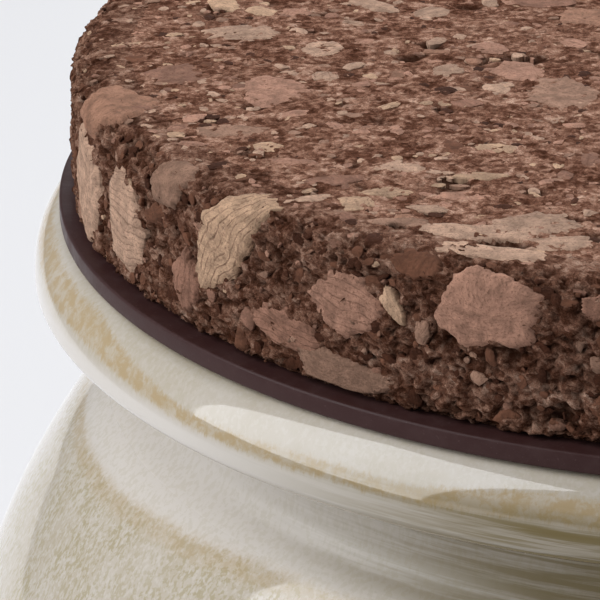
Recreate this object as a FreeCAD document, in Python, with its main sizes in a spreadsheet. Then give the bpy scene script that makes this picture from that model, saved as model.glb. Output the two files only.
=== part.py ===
import FreeCAD, Part

import math
import os

import Sketcher

# Glazed stoneware storage jar with a silicone sealing ring and a cork lid, in millimetres.
#
# The jar stands on its flat foot with its axis on +Z, and the origin is the middle of the foot. The
# ring lies on the flat top of the rolled lip, and the cork lid lies on the ring. The closed jar is one
# turned solid, from its foot over the belly, the shoulder and the neck to the lip. All three pieces
# take their sizes and their heights from the sheet "Sizes".

# Driving dimensions: alias, value in mm, meaning.
SIZES = (
    ("jar_height", 130.0, "foot to the flat top of the lip"),
    ("lip_radius", 59.2, "outermost reach of the rolled lip"),
    ("lip_bead", 3.6, "radius of the lip's rolled edge"),
    ("neck_undercut", 7.7, "depth of the neck inside the lip's reach"),
    ("neck_drop", 12.0, "lip top down to the narrowest part of the neck"),
    ("neck_hollow", 3.0, "radius of the hollow round the neck"),
    ("belly_radius", 67.8, "widest part of the body"),
    ("belly_drop", 54.6, "lip top down to the widest part"),
    ("foot_radius", 46.0, "flat that the jar stands on"),
    ("heel_round", 5.0, "radius between the foot and the side"),
    ("ring_setback", 2.2, "ring's edge inside the lip's reach"),
    ("ring_thickness", 1.5, "sealing ring, top to bottom"),
    ("ring_edge_round", 0.35, "soft corners of the ring's outer edge"),
    ("cork_setback", 0.9, "cork's side inside the ring's edge"),
    ("cork_thickness", 12.0, "cork disc, ring to top"),
    ("cork_top_round", 2.4, "sanded round of the cork's upper edge"),
    ("cork_bottom_round", 0.9, "sanded round of the cork's lower edge"),
    ("spigot_inset", 10.0, "spigot's side inside the cork's side"),
    ("ring_fit", 0.3, "gap between the spigot and the ring round it"),
    ("spigot_clearance", 0.3, "gap between the spigot and the jar's top"),
)

# Rough angles, in degrees, at which the lip and the neck pass into the slope between them. The
# sketch's tangents settle the true ones.
BEAD_START = -60.0
NECK_START = 120.0

# Ends of an edge, and the sketch's own origin, as the sketcher numbers them.
START = 1
END = 2
CENTRE = 3
ORIGIN = -1

HEIGHT_TOLERANCE = 1e-6


def make_sheet(document):
    """Write the driving dimensions into the sheet "Sizes", one alias to a row."""
    sheet = document.addObject("Spreadsheet::Sheet", "Sizes")
    for row, (alias, value, meaning) in enumerate(SIZES, start=1):
        sheet.set(f"A{row}", meaning)
        sheet.set(f"B{row}", str(value))
        sheet.setAlias(f"B{row}", alias)
    document.recompute()


def make_body(document, name):
    """Add an empty body whose Label is the name of its node."""
    body = document.addObject("PartDesign::Body", name)
    body.Label = name
    return body


def make_sketch(body, name, role):
    """Add a sketch on one of the body's own origin planes, such as XZ_Plane."""
    plane = next(item for item in body.Origin.OriginFeatures if item.Role == role)
    sketch = body.newObject("Sketcher::SketchObject", name)
    sketch.AttachmentSupport = (plane, "")
    sketch.MapMode = "FlatFace"
    return sketch


def point(across, up):
    """A point of a sketch."""
    return FreeCAD.Vector(across, up, 0)


def line(start, end):
    """A straight edge between two points."""
    return Part.LineSegment(start, end)


def arc(centre, radius, first, last):
    """A round edge, anticlockwise from the first angle to the last, in degrees."""
    circle = Part.Circle(centre, FreeCAD.Vector(0, 0, 1), radius)
    return Part.ArcOfCircle(circle, math.radians(first), math.radians(last))


def tie(sketch, kind, *items):
    """Add a constraint without a size."""
    sketch.addConstraint(Sketcher.Constraint(kind, *items))


def bind(sketch, formula, kind, *items):
    """Add a constraint whose size is a formula in the sheet's aliases."""
    index = sketch.addConstraint(Sketcher.Constraint(kind, *items))
    sketch.setExpression(f"Constraints[{index}]", formula)


def side_arc_radius(rise, inset, blend):
    """Radius of an arc that stands upright at the belly and runs into a smaller round of radius blend.

    The smaller round's centre lies rise away from the belly's level and inset inside its reach. A
    positive blend rounds the same way as the belly, as the heel does, and a negative one is a hollow.
    """
    return (inset**2 + rise**2 - blend**2) / (2 * (inset - blend))


def jar_edges(size):
    """Half profile of the jar, from the middle of the foot out and up to the axis again.

    The centres and radii are the finished ones, and the sketch's tangents close the joins.
    """
    top = size["jar_height"]
    foot = size["foot_radius"]
    heel = size["heel_round"]
    belly = size["belly_radius"]
    belly_level = top - size["belly_drop"]
    hollow = size["neck_hollow"]
    neck = size["lip_radius"] - size["neck_undercut"] + hollow
    neck_level = top - size["neck_drop"]
    bead = size["lip_bead"]
    bead_centre = point(size["lip_radius"] - bead, top - bead)

    lower = side_arc_radius(belly_level - heel, belly - foot, heel)
    upper = side_arc_radius(neck_level - belly_level, belly - neck, -hollow)
    heel_end = math.degrees(math.atan2(heel - belly_level, foot - belly + lower))
    upper_end = math.degrees(math.atan2(neck_level - belly_level, neck - belly + upper))
    slope_foot = point(neck - hollow / 2, neck_level + hollow)
    slope_head = bead_centre + point(bead / 2, -bead)

    return [
        line(point(0, 0), point(foot, 0)),
        arc(point(foot, heel), heel, -90, heel_end),
        arc(point(belly - lower, belly_level), lower, heel_end, 0),
        arc(point(belly - upper, belly_level), upper, 0, upper_end),
        arc(point(neck, neck_level), hollow, NECK_START, 180 + upper_end),
        line(slope_foot, slope_head),
        arc(bead_centre, bead, BEAD_START, 90),
        line(point(bead_centre.x, top), point(0, top)),
        line(point(0, top), point(0, 0)),
    ]


def make_jar(document, size):
    """The stoneware jar: one turned solid from its flat foot to the flat top of its lip."""
    body = make_body(document, "jar")
    sketch = make_sketch(body, "jar_profile", "XZ_Plane")
    edges = sketch.addGeometry(jar_edges(size), False)
    foot, heel, lower, shoulder, neck, slope, bead, top, axis = edges

    tie(sketch, "Coincident", foot, START, ORIGIN, START)
    tie(sketch, "Coincident", top, END, axis, START)
    tie(sketch, "Coincident", axis, END, foot, START)
    tie(sketch, "Horizontal", foot)
    tie(sketch, "Horizontal", top)
    tie(sketch, "Vertical", axis)
    tie(sketch, "Tangent", foot, END, heel, START)
    tie(sketch, "Tangent", heel, END, lower, START)
    tie(sketch, "Tangent", lower, END, shoulder, START)
    tie(sketch, "Tangent", shoulder, END, neck, END)
    tie(sketch, "Tangent", neck, START, slope, START)
    tie(sketch, "Tangent", slope, END, bead, START)
    tie(sketch, "Tangent", bead, END, top, START)
    tie(sketch, "Horizontal", lower, CENTRE, lower, END)

    bind(sketch, "Sizes.heel_round", "Radius", heel, size["heel_round"])
    bind(sketch, "Sizes.neck_hollow", "Radius", neck, size["neck_hollow"])
    bind(sketch, "Sizes.lip_bead", "Radius", bead, size["lip_bead"])

    places = (
        ("DistanceX", foot, END, "Sizes.foot_radius"),
        ("DistanceX", lower, END, "Sizes.belly_radius"),
        ("DistanceY", lower, END, "Sizes.jar_height - Sizes.belly_drop"),
        ("DistanceX", neck, CENTRE, "Sizes.lip_radius - Sizes.neck_undercut + Sizes.neck_hollow"),
        ("DistanceY", neck, CENTRE, "Sizes.jar_height - Sizes.neck_drop"),
        ("DistanceX", bead, CENTRE, "Sizes.lip_radius - Sizes.lip_bead"),
        ("DistanceY", top, END, "Sizes.jar_height"),
    )
    for kind, edge, end, formula in places:
        here = sketch.getPoint(edge, end)
        reach = here.x if kind == "DistanceX" else here.y
        bind(sketch, formula, kind, ORIGIN, START, edge, end, reach)

    revolution = body.newObject("PartDesign::Revolution", "jar_turned")
    revolution.Profile = sketch
    revolution.ReferenceAxis = (sketch, ["V_Axis"])
    revolution.Angle = 360
    return body


def add_circle(sketch, formula, radius):
    """Add a circle round the axis to a sketch, with its radius bound to a formula."""
    circle = sketch.addGeometry(Part.Circle(point(0, 0), FreeCAD.Vector(0, 0, 1), radius), False)
    tie(sketch, "Coincident", circle, CENTRE, ORIGIN, START)
    bind(sketch, formula, "Radius", circle, radius)


def add_pad(body, sketch, name, formula, downwards=False):
    """Pad a sketch of circles to a thickness given by a formula."""
    pad = body.newObject("PartDesign::Pad", name)
    pad.Profile = sketch
    pad.Reversed = downwards
    pad.setExpression("Length", formula)
    return pad


def add_round(body, base, name, formula, level):
    """Round the outermost circular edge that lies at a level of the body."""
    edges = [
        (edge.BoundBox.XLength, f"Edge{number}")
        for number, edge in enumerate(base.Shape.Edges, start=1)
        if edge.BoundBox.ZLength < HEIGHT_TOLERANCE
        and abs(edge.BoundBox.ZMin - level) < HEIGHT_TOLERANCE
    ]
    fillet = body.newObject("PartDesign::Fillet", name)
    fillet.Base = (base, [max(edges)[1]])
    fillet.setExpression("Radius", formula)
    return fillet


def make_ring(document, size):
    """The silicone ring: a flat washer with soft outer corners, lying on the lip's flat top."""
    body = make_body(document, "seal_ring")
    sketch = make_sketch(body, "ring_plan", "XY_Plane")
    outer = size["lip_radius"] - size["ring_setback"]
    bore = outer - size["cork_setback"] - size["spigot_inset"] + size["ring_fit"]
    outer_formula = "Sizes.lip_radius - Sizes.ring_setback"
    bore_formula = f"{outer_formula} - Sizes.cork_setback - Sizes.spigot_inset + Sizes.ring_fit"
    add_circle(sketch, outer_formula, outer)
    add_circle(sketch, bore_formula, bore)
    pad = add_pad(body, sketch, "ring_flat", "Sizes.ring_thickness")
    document.recompute()

    upper = add_round(body, pad, "ring_upper_edge", "Sizes.ring_edge_round", size["ring_thickness"])
    document.recompute()
    add_round(body, upper, "ring_lower_edge", "Sizes.ring_edge_round", 0)
    body.setExpression("Placement.Base.z", "Sizes.jar_height")
    return body


def make_lid(document, size):
    """The cork lid: a thick disc with sanded edges, and a low spigot that the ring is put round."""
    body = make_body(document, "cork_lid")
    side = size["lip_radius"] - size["ring_setback"] - size["cork_setback"]
    side_formula = "Sizes.lip_radius - Sizes.ring_setback - Sizes.cork_setback"
    disc_plan = make_sketch(body, "disc_plan", "XY_Plane")
    add_circle(disc_plan, side_formula, side)
    disc = add_pad(body, disc_plan, "disc", "Sizes.cork_thickness")
    document.recompute()

    top_round = add_round(body, disc, "disc_upper_edge", "Sizes.cork_top_round", size["cork_thickness"])
    document.recompute()
    add_round(body, top_round, "disc_lower_edge", "Sizes.cork_bottom_round", 0)
    document.recompute()

    spigot_plan = make_sketch(body, "spigot_plan", "XY_Plane")
    add_circle(spigot_plan, f"{side_formula} - Sizes.spigot_inset", side - size["spigot_inset"])
    spigot_length = "Sizes.ring_thickness - Sizes.spigot_clearance"
    add_pad(body, spigot_plan, "spigot", spigot_length, downwards=True)
    body.setExpression("Placement.Base.z", "Sizes.jar_height + Sizes.ring_thickness")
    return body


def check(document, bodies):
    """Stop if an object failed to compute or a piece is not one valid solid."""
    failed = [item.Name for item in document.Objects if {"Invalid", "Error"} & set(item.State)]
    if failed:
        raise RuntimeError(f"not computed: {failed}")
    for body in bodies:
        if body.Shape.isNull() or not body.Shape.isValid() or len(body.Shape.Solids) != 1:
            raise RuntimeError(f"{body.Label} is not one valid solid")


def main():
    """Build the document, check it and write one STEP file for each piece."""
    size = {alias: value for alias, value, _ in SIZES}
    document = FreeCAD.newDocument("lidded_jar")
    make_sheet(document)
    bodies = [make_jar(document, size), make_ring(document, size), make_lid(document, size)]
    document.recompute()
    check(document, bodies)

    os.makedirs("parts", exist_ok=True)
    for body in bodies:
        body.Shape.exportStep(f"parts/{body.Label}.step")
        box = body.Shape.optimalBoundingBox()
        reach = f"radius {box.XMax:.2f}, z {box.ZMin:.2f} to {box.ZMax:.2f} mm"
        print(f"{body.Label}: {body.Shape.Volume / 1000:.1f} cm3, {reach}")


main()
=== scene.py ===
"""Looks of a stoneware storage jar with a rolled lip, a silicone sealing ring and a cork lid.

All lengths are in metres unless a name or a docstring says millimetres. +Z is up and the jar's axis is
the Z axis. An azimuth is counted in degrees from the front, which faces -Y, and is positive towards +X.
"""
import logging
import math
import random
from collections.abc import Sequence
from dataclasses import dataclass, field
from enum import Enum

import bmesh
import bpy
import numpy as np
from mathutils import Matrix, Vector, noise

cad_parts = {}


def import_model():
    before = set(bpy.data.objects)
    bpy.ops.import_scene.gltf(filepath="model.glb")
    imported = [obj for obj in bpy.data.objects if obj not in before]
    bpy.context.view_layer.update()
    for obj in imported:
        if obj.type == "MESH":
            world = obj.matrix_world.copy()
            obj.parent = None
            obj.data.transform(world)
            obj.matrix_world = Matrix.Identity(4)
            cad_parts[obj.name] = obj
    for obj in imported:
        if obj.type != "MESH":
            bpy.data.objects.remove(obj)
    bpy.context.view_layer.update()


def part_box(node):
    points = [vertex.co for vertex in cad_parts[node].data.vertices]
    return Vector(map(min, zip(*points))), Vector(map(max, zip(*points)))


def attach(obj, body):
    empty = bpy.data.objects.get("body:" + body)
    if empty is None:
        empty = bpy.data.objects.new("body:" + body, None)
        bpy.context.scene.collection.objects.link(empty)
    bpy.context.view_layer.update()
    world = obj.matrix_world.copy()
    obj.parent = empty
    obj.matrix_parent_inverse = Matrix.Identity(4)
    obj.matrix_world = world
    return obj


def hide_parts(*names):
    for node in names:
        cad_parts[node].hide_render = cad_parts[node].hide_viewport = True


LOG = logging.getLogger("lidded_jar")
MM = 0.001
BODY = "root"
LAYER_MM = 0.6
NOISE_SEED = 24
FULL_TURN = 2.0 * math.pi
ON_AXIS = 1e-9

Colour = tuple[float, float, float]
Stops = Sequence[tuple[float, Colour]]
Profile = list[tuple[float, float]]
Faces = list[tuple[int, ...]]
Range = tuple[float, float]
Spot = tuple[float, float, float]
Socket = bpy.types.NodeSocket
Value = float | tuple[float, ...] | Socket


# ---------------------------------------------------------------------------------------------------
# Shader drafting
# ---------------------------------------------------------------------------------------------------


@dataclass(frozen=True)
class Band:
    """A level band round the jar, in millimetres below the flat top of the lip.

    It is full within half of its centre, fades over a soft edge, and its share says how strong it is.
    """

    centre: float
    half: float
    soft: float
    share: float = 1.0


class Draft:
    """A material being wired: short calls for the shader nodes that the finishes share."""

    def __init__(self, name: str) -> None:
        """Start a material with one principled shader.

        Args:
            name: The material's name.
        """
        self.material = bpy.data.materials.new(name)
        self.material.use_nodes = True
        self.tree = self.material.node_tree
        self.shader = self.tree.nodes["Principled BSDF"]

    def node(
        self, kind: str, inputs: dict[int | str, Value] | None = None, **settings: object
    ) -> bpy.types.Node:
        """Add a node, set its properties and set or link its inputs.

        Args:
            kind: The node's type, without the "ShaderNode" that starts it.
            inputs: Input name or index to a plain value or to an output socket.
            **settings: Properties of the node.

        Returns:
            The new node.
        """
        made = self.tree.nodes.new("ShaderNode" + kind)
        for name, value in settings.items():
            setattr(made, name, value)
        for name, value in (inputs or {}).items():
            self.feed(made.inputs[name], value)
        return made

    def feed(self, socket: Socket, value: Value) -> None:
        """Link an output to a socket, or set the socket to a plain value.

        Args:
            socket: The input that takes it.
            value: The output or the plain value.
        """
        if isinstance(value, Socket):
            self.tree.links.new(value, socket)
        else:
            socket.default_value = value

    def set(self, **values: Value) -> None:
        """Set or link the shader's own sockets.

        Args:
            **values: Socket names, in which an underscore stands for a space, and their values.
        """
        for name, value in values.items():
            self.feed(self.shader.inputs[name.replace("_", " ")], value)

    def maths(self, operation: str, first: Value, second: Value = 0.0, clamp: bool = False) -> Socket:
        """Work out one number from two.

        Args:
            operation: The math node's operation.
            first: The first number.
            second: The second number.
            clamp: Whether the result stays between 0 and 1.

        Returns:
            The result.
        """
        made = self.node("Math", {0: first, 1: second}, operation=operation, use_clamp=clamp)
        return made.outputs[0]

    def plus(self, first: Value, second: Value) -> Socket:
        """The sum of two numbers."""
        return self.maths("ADD", first, second)

    def minus(self, first: Value, second: Value) -> Socket:
        """The first number less the second."""
        return self.maths("SUBTRACT", first, second)

    def times(self, first: Value, second: Value) -> Socket:
        """The product of two numbers."""
        return self.maths("MULTIPLY", first, second)

    def larger(self, first: Value, second: Value) -> Socket:
        """The larger of two numbers."""
        return self.maths("MAXIMUM", first, second)

    def vector(self, operation: str, first: Value, second: Value) -> Socket:
        """Work out one vector from two, or from one and a scale.

        Args:
            operation: The vector math node's operation.
            first: The first vector.
            second: The second vector, or the scale.

        Returns:
            The result.
        """
        made = self.node("VectorMath", {0: first}, operation=operation)
        self.feed(made.inputs["Scale" if operation == "SCALE" else 1], second)
        return made.outputs["Vector"]

    def span(self, value: Value, low: Value, high: Value, first: float = 0.0, last: float = 1.0) -> Socket:
        """Map the range low to high smoothly onto first to last, and hold it there beyond.

        Args:
            value: The number to map.
            low: Where the range starts.
            high: Where it ends.
            first: The result at its start.
            last: The result at its end.

        Returns:
            The mapped number.
        """
        made = self.node(
            "MapRange",
            {"Value": value, "From Min": low, "From Max": high, "To Min": first, "To Max": last},
            interpolation_type="SMOOTHSTEP",
        )
        return made.outputs["Result"]

    def near(self, value: Value, centre: Value, half: Value, soft: float) -> Socket:
        """One within half of a centre, and falling to nothing over a soft edge.

        Args:
            value: The number to look at.
            centre: The centre.
            half: How far to each side it stays one.
            soft: How far it takes to fall.

        Returns:
            The share from 0 to 1.
        """
        away = self.maths("ABSOLUTE", self.minus(value, centre))
        return self.span(away, half, self.plus(half, soft), 1.0, 0.0)

    def banded(self, drop: Value, band: Band) -> Socket:
        """How strong a band is at a drop."""
        return self.times(self.near(drop, band.centre, band.half, band.soft), band.share)

    def ramp(self, value: Value, stops: Stops) -> Socket:
        """Turn a number into a colour through a row of stops.

        Args:
            value: The number.
            stops: Place and colour of each stop.

        Returns:
            The colour.
        """
        made = self.node("ValToRGB", {"Fac": value})
        elements = made.color_ramp.elements
        while len(elements) < len(stops):
            elements.new(0.5)
        for element, (place, colour) in zip(elements, stops):
            element.position = place
            element.color = (*colour, 1.0)
        return made.outputs["Color"]

    def mix(self, share: Value, first: Value, second: Value, blend: str = "MIX") -> Socket:
        """Blend two colours.

        Args:
            share: The share of the second.
            first: The first colour.
            second: The second colour.
            blend: The mix node's way of blending.

        Returns:
            The blended colour.
        """
        made = self.node("Mix", data_type="RGBA", blend_type=blend)
        for index, value in ((0, share), (6, first), (7, second)):
            if isinstance(value, tuple):
                value = (*value, 1.0)
            self.feed(made.inputs[index], value)
        return made.outputs[2]

    def shaded(self, colour: Value, shade: Value) -> Socket:
        """Multiply a colour by a number."""
        grey = self.node("CombineXYZ", {0: shade, 1: shade, 2: shade}).outputs[0]
        return self.mix(1.0, colour, grey, "MULTIPLY")

    def noise(self, place: Value, scale: float, detail: float = 2.0, rough: float = 0.5) -> Socket:
        """Cloudy noise.

        Args:
            place: Where it is read.
            scale: Its clouds in a unit of place.
            detail: How many finer layers it has.
            rough: The strength of each finer layer beside the one before it.

        Returns:
            The noise, from 0 to 1.
        """
        values = {"Vector": place, "Scale": scale, "Detail": detail, "Roughness": rough}
        return self.node("TexNoise", values).outputs["Fac"]

    def cells(self, place: Value, scale: float) -> bpy.types.Node:
        """Cells of chance shape, with outputs Distance and Color."""
        return self.node("TexVoronoi", {"Vector": place, "Scale": scale})

    def places_mm(self) -> Socket:
        """The object's own coordinates in millimetres."""
        return self.vector("SCALE", self.node("TexCoord").outputs["Object"], 1.0 / MM)

    def warped(self, place: Value, scale: float, reach: float) -> Socket:
        """Move a place about by noise.

        Args:
            place: The place.
            scale: The noise's clouds in a unit of place.
            reach: Twice the way that it moves at most.

        Returns:
            The moved place.
        """
        cloud = self.node("TexNoise", {"Vector": place, "Scale": scale, "Detail": 2.0}).outputs["Color"]
        shift = self.vector("SUBTRACT", cloud, (0.5, 0.5, 0.5))
        return self.vector("ADD", place, self.vector("SCALE", shift, reach))

    def bump(self, height_mm: Value, strength: float = 1.0) -> None:
        """Feed a height to the shader's normal.

        Args:
            height_mm: The height in millimetres.
            strength: The bump node's strength.
        """
        height = self.times(height_mm, MM)
        made = self.node("Bump", {"Strength": strength, "Distance": 1.0, "Height": height})
        self.set(Normal=made.outputs["Normal"])


# ---------------------------------------------------------------------------------------------------
# Finishes
# ---------------------------------------------------------------------------------------------------


@dataclass(frozen=True)
class GlazeMap:
    """Outputs that say where a place of the body lies, in millimetres.

    Drops are counted from the flat top of the lip. The edge is the drop made ragged, as glaze runs, and
    the low edge hangs lower on the left. The spots are the grain that the flecks follow.
    """

    place: Socket
    tall: Socket
    x: Socket
    height: Socket
    drop: Socket
    edge: Socket
    low_edge: Socket
    spots: Socket


@dataclass(frozen=True)
class GlazeFinish:
    """Grey-beige stoneware glaze: paler where it lies thick, ochre where it breaks over an edge.

    Ranges are along X and bands are drops below the flat top of the lip, all in millimetres. The pale
    bands under the lip and in the neck's hollow are in part painted reflection, the dark band in the neck
    carries painted shade on the right, and the band just below the ring is painted shadow.
    """

    lip_top_mm: float
    body: Colour = (0.480, 0.418, 0.330)
    # Pale thick glaze; the same colour paints the reflection in the bands under the lip and in the neck.
    pale_glaze_and_reflection: Colour = (0.620, 0.575, 0.528)
    fleck: Colour = (0.385, 0.328, 0.200)
    broken: Colour = (0.430, 0.315, 0.170)
    # Dark glaze streaks and pinholes; the same colour paints shade in the neck and shadow below the ring.
    streak_and_shade: Colour = (0.160, 0.115, 0.034)
    clay: Colour = (0.36, 0.29, 0.215)
    roughness: float = 0.05
    clay_roughness: float = 0.8
    refraction: float = 1.50
    wander: float = 1.6
    sag: float = 2.2
    sagging: Range = (-54.0, -30.0)
    left_end: Range = (-50.0, -40.0)
    right_end: Range = (-24.0, -12.0)
    # Along X, where the broad dark band in the neck deepens: painted shade with the streaks.
    shade_and_streak_end: Range = (-44.0, -11.0)
    lip_line_drop: float = 3.15
    lip_line_half: float = 0.25
    lip_line_soft: float = 0.55
    # Pale bands of thick glaze under the lip and in the neck's hollow, in part painted reflection.
    under_pool_and_reflection: Band = Band(5.8, 1.5, 1.2)
    cove_pool_and_reflection: Band = Band(11.6, 4.2, 0.6)
    cove_dull: Band = Band(11.6, 3.6, 1.5, 0.36)
    ridge_line: Band = Band(16.5, 0.20, 0.9, 0.5)
    thin_streaks: Band = Band(9.6, 0.9, 0.9, 0.55)
    wide_streaks_and_shade: Band = Band(9.1, 5.1, 2.6, 0.95)

    def material(self) -> bpy.types.Material:
        """Wire the glaze.

        Returns:
            The finished material.
        """
        draft = Draft("grey_beige_glaze")
        found = self.mapped(draft)
        colour = self.speckled(draft, found)
        colour = self.pools_and_reflection_over(draft, found, colour)
        colour = self.broken_over(draft, found, colour)
        colour = self.streaked_and_shaded(draft, found, colour)

        holes = draft.cells(found.place, 0.22).outputs["Distance"]
        colour = draft.mix(draft.span(holes, 0.012, 0.022, 0.75, 0.0), colour, self.streak_and_shade)
        bare = draft.span(found.height, 1.1, 1.5, 1.0, 0.0)
        dull = draft.plus(draft.banded(found.drop, self.cove_dull), self.roughness)
        draft.set(
            Base_Color=draft.mix(bare, colour, self.clay),
            Roughness=draft.larger(dull, draft.times(bare, self.clay_roughness)),
            IOR=self.refraction,
        )
        ripple = draft.times(draft.noise(found.place, 0.35), 0.02)
        skin = draft.times(draft.noise(found.tall, 2.0), 0.002)
        draft.bump(draft.plus(ripple, skin), 0.5)
        return draft.material

    def mapped(self, draft: Draft) -> GlazeMap:
        """Find where places lie.

        Args:
            draft: The material.

        Returns:
            The outputs that say it.
        """
        place = draft.places_mm()
        axes = draft.node("SeparateXYZ", {0: place}).outputs
        drift = draft.times(draft.minus(draft.noise(place, 0.045, 3.0), 0.5), self.wander)
        drop = draft.minus(self.lip_top_mm, draft.plus(axes["Z"], drift))
        brush = draft.noise(draft.vector("MULTIPLY", place, (1.0, 1.0, 0.22)), 3.4, 3.0, 0.65)
        edge = draft.plus(drop, draft.plus(draft.times(brush, 1.1), -0.55))
        tall = draft.vector("MULTIPLY", place, (1.0, 1.0, 0.5))
        return GlazeMap(
            place=place,
            tall=tall,
            x=axes["X"],
            height=axes["Z"],
            drop=drop,
            edge=edge,
            low_edge=draft.minus(edge, draft.span(axes["X"], *self.sagging, self.sag, 0.0)),
            spots=draft.noise(draft.warped(tall, 2.4, 0.2), 2.2, 3.5, 0.6),
        )

    def speckled(self, draft: Draft, found: GlazeMap) -> Socket:
        """Lay the body colour with its paler patches, its ochre flecks and its pale spots.

        Args:
            draft: The material.
            found: Where places lie.

        Returns:
            The colour.
        """
        run = draft.vector("MULTIPLY", found.place, (1.0, 1.0, 0.45))
        patches = draft.span(draft.noise(run, 0.22, 4.0, 0.6), 0.35, 0.7, 0.0, 0.4)
        colour = draft.mix(patches, self.body, self.pale_glaze_and_reflection)
        lanes = draft.span(draft.noise(found.place, 0.16, 3.0), 0.38, 0.62, 0.4, 1.0)
        flecks = draft.times(draft.span(found.spots, 0.475, 0.55, 0.0, 0.85), lanes)
        flecks = draft.times(flecks, draft.span(found.drop, 11.0, 17.0, 0.3, 1.0))
        colour = draft.mix(flecks, colour, self.fleck)
        spots = draft.noise(draft.warped(found.tall, 1.8, 0.3), 2.7, 2.0, 0.6)
        pale = draft.span(spots, 0.50, 0.62, 0.0, 0.45)
        pale = draft.times(pale, draft.span(found.drop, 3.0, 14.0, 0.4, 1.0))
        pale = draft.plus(pale, draft.span(found.drop, 3.0, 14.0, 0.20, 0.0))
        return draft.mix(pale, colour, self.pale_glaze_and_reflection)

    def pools_and_reflection_over(self, draft: Draft, found: GlazeMap, colour: Socket) -> Socket:
        """Add the pale bands in the neck's hollow and under the lip: thick glaze, partly painted
        reflection.

        Args:
            draft: The material.
            found: Where places lie.
            colour: The colour so far.

        Returns:
            The colour with them.
        """
        cove = draft.banded(found.low_edge, self.cove_pool_and_reflection)
        pools_and_reflection = draft.larger(cove, draft.banded(found.drop, self.under_pool_and_reflection))
        # Painted reflection in part: the pale bands under the lip and in the neck's hollow.
        colour = draft.mix(draft.times(pools_and_reflection, 0.90), colour, self.pale_glaze_and_reflection)
        faint = draft.times(draft.span(found.spots, 0.47, 0.58, 0.0, 0.18), cove)
        return draft.mix(faint, colour, self.fleck)

    def broken_over(self, draft: Draft, found: GlazeMap, colour: Socket) -> Socket:
        """Add the ochre lines where the glaze breaks over the lip and over the ridge below the neck.

        Args:
            draft: The material.
            found: Where places lie.
            colour: The colour so far.

        Returns:
            The colour with them.
        """
        left = draft.times(draft.span(found.x, *self.left_end, 1.0, 0.0), 1.2)
        right = draft.times(draft.span(found.x, *self.right_end), 0.85)
        raised = draft.plus(left, right)
        half = draft.plus(self.lip_line_half, draft.times(raised, 0.40))
        centre = draft.minus(self.lip_line_drop, raised)
        lip_line = draft.near(found.edge, centre, half, self.lip_line_soft)
        lines = draft.larger(lip_line, draft.banded(found.low_edge, self.ridge_line))
        blotch = draft.noise(draft.warped(found.place, 0.7, 1.0), 0.9, 4.0, 0.7)
        strength = draft.span(blotch, 0.36, 0.60, 0.3, 0.9)
        return draft.mix(draft.times(lines, strength), colour, self.broken)

    def streaked_and_shaded(self, draft: Draft, found: GlazeMap, colour: Socket) -> Socket:
        """Add the dark streaks round the neck, broad on the right, and the dark band by the ring.

        The broad band deepens to the right with painted shade, and the band by the ring is painted shadow
        under its edge with a thin brown line.

        Args:
            draft: The material.
            found: Where places lie.
            colour: The colour so far.

        Returns:
            The colour with them.
        """
        threads = draft.noise(draft.vector("MULTIPLY", found.place, (0.05, 0.05, 1.5)), 1.0, 4.0, 0.65)
        dark = draft.span(threads, 0.36, 0.58, 0.6, 1.0)
        thin = draft.banded(found.drop, self.thin_streaks)
        # The broad band under the lip and in the neck: dark streaks, and painted shade deepening to the
        # right.
        wide = draft.banded(found.drop, self.wide_streaks_and_shade)
        wide = draft.times(wide, draft.span(found.x, *self.shade_and_streak_end))
        colour = draft.mix(draft.times(draft.larger(thin, wide), dark), colour, self.streak_and_shade)
        # Painted shadow under the ring's edge, with a thin brown line there.
        return draft.mix(draft.span(found.drop, 0.0, 0.7, 0.40, 0.0), colour, self.streak_and_shade)


@dataclass(frozen=True)
class SiliconeFinish:
    """Satin dark chocolate-brown silicone with a faint mould texture."""

    colour: Colour = (0.042, 0.017, 0.016)
    dust: Colour = (0.085, 0.050, 0.048)
    roughness: float = 0.42
    refraction: float = 1.25

    def material(self) -> bpy.types.Material:
        """Wire the silicone.

        Returns:
            The finished material.
        """
        draft = Draft("brown_silicone")
        place = draft.places_mm()
        bloom = draft.noise(place, 0.5, 4.0, 0.7)
        specks = draft.span(draft.noise(place, 5.0), 0.66, 0.74, 0.0, 0.6)
        share = draft.maths("ADD", draft.span(bloom, 0.4, 0.75, 0.0, 0.25), specks, clamp=True)
        draft.set(
            Base_Color=draft.mix(share, self.colour, self.dust),
            Roughness=draft.span(bloom, 0.3, 0.7, self.roughness - 0.06, self.roughness + 0.1),
            IOR=self.refraction,
        )
        draft.bump(draft.times(draft.noise(place, 6.0, 3.0), 0.01))
        return draft.material


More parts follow.
